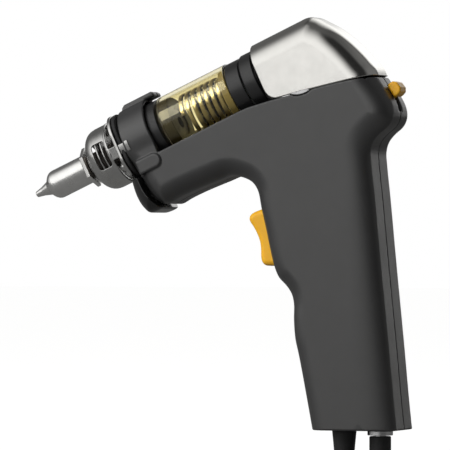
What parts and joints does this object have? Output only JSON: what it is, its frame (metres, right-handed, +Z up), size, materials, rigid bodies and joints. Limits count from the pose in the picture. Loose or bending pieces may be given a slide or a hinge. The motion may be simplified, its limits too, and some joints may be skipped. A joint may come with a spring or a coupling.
{
  "type": "desoldering tool",
  "caption": "Pistol-grip desoldering tool: heated hollow nozzle, glass solder collector pipe, sprung release plunger under a metal hood, trigger, vacuum hose and cord exits.",
  "frame": {"origin": "middle of the bounding box underside, on the centre plane where the two housing halves meet", "axes": "+Z up along the handle, -X towards the nozzle, +X towards the back of the hand, Y across the tool; the barrel axis rises 24.84 degrees from the nozzle towards +X"},
  "size_m": [0.1676, 0.0318, 0.1937],
  "materials": {
    "nozzle_steel": "satin, plated",
    "cover_steel": "satin",
    "heater_ceramic": "matte, unglazed",
    "screw_steel": "zinc plated",
    "spring_steel": "bright drawn",
    "black_gloss": "glossy",
    "black_matte": "fine satin",
    "housing_black": "fine matte texture",
    "black_rubber": "matte",
    "silicone": "matte",
    "amber_glass": "clear, amber tint",
    "filter_wire": "bright drawn",
    "ceramic_paper": "pressed fibre",
    "hood_metal": "satin chrome",
    "yellow_plastic": "satin",
    "board_green": "satin",
    "nipple_metal": "turned"
  },
  "bodies": {
    "housing": {"nozzle": "nozzle_steel", "heater_core": "heater_ceramic", "element_cover": "cover_steel", "heater_flange": "cover_steel", "flange_gasket": "black_rubber", "flange_screw_1": "screw_steel", "flange_screw_2": "screw_steel", "flange_screw_3": "screw_steel", "front_holder": "black_gloss", "front_seal": "silicone", "plunger_spring": "spring_steel", "plunger_guide": "black_matte", "housing_left": "housing_black", "housing_right": "housing_black", "housing_screw_1": "screw_steel", "housing_screw_2": "screw_steel", "housing_screw_3": "screw_steel", "housing_screw_4": "screw_steel", "housing_screw_5": "screw_steel", "front_bezel": "black_gloss", "rear_hood": "hood_metal", "hood_catch": "screw_steel", "knob_spring": "spring_steel", "trigger_pin": "screw_steel", "trigger_spring": "spring_steel", "trigger_switch": "black_matte", "terminal_board": "board_green", "heater_lead": "silicone", "sensor_lead": "silicone", "inner_hose": "silicone", "hose_nipple": "nipple_metal", "vacuum_hose_end": "black_rubber", "strain_relief": "black_rubber", "power_cord": "black_rubber", "cord_clamp": "black_matte"},
    "filter_pipe": {"filter_glass": "amber_glass", "filter_front_cap": "silicone", "spring_filter": "filter_wire", "ceramic_filter": "ceramic_paper", "filter_rear_cap": "black_gloss"},
    "plunger": {"rear_plunger": "black_gloss"},
    "release_button": {"release_knob": "yellow_plastic", "release_slider": "black_matte"},
    "trigger_lever": {"trigger": "yellow_plastic"},
    "switch_button": {"switch_plunger": "yellow_plastic"}
  },
  "joints": [
    {"name": "trigger_pull", "type": "hinge", "parent": "housing", "child": "trigger_lever", "pos_m": [0.02865, 0, 0.1176], "axis": [0, -1, 0], "range_deg": [0, 6], "stiffness_Nm_per_rad": 0.4, "deforming": ["trigger_spring"]},
    {"name": "switch_press", "type": "slide", "parent": "housing", "child": "switch_button", "axis": [1, 0, 0], "range_m": [0, 0.0013]},
    {"name": "release_knob_slide", "type": "slide", "parent": "housing", "child": "release_button", "axis": [0.5391, 0, -0.8422], "range_m": [0, 0.0055], "stiffness_N_per_m": 300, "deforming": ["knob_spring"]},
    {"name": "plunger_retract", "type": "slide", "parent": "housing", "child": "plunger", "axis": [0.9075, 0, 0.4201], "range_m": [0, 0.0044], "deforming": ["plunger_spring"]},
    {"name": "filter_pipe_lift", "type": "slide", "parent": "housing", "child": "filter_pipe", "axis": [-0.4201, 0, 0.9075], "range_m": [0, 0.045]}
  ],
  "couplings": [
    {"joint": "switch_press", "follows": "trigger_pull", "m_per_rad": 0.0122},
    {"joint": "plunger_retract", "follows": "release_knob_slide", "ratio": 0.8}
  ]
}
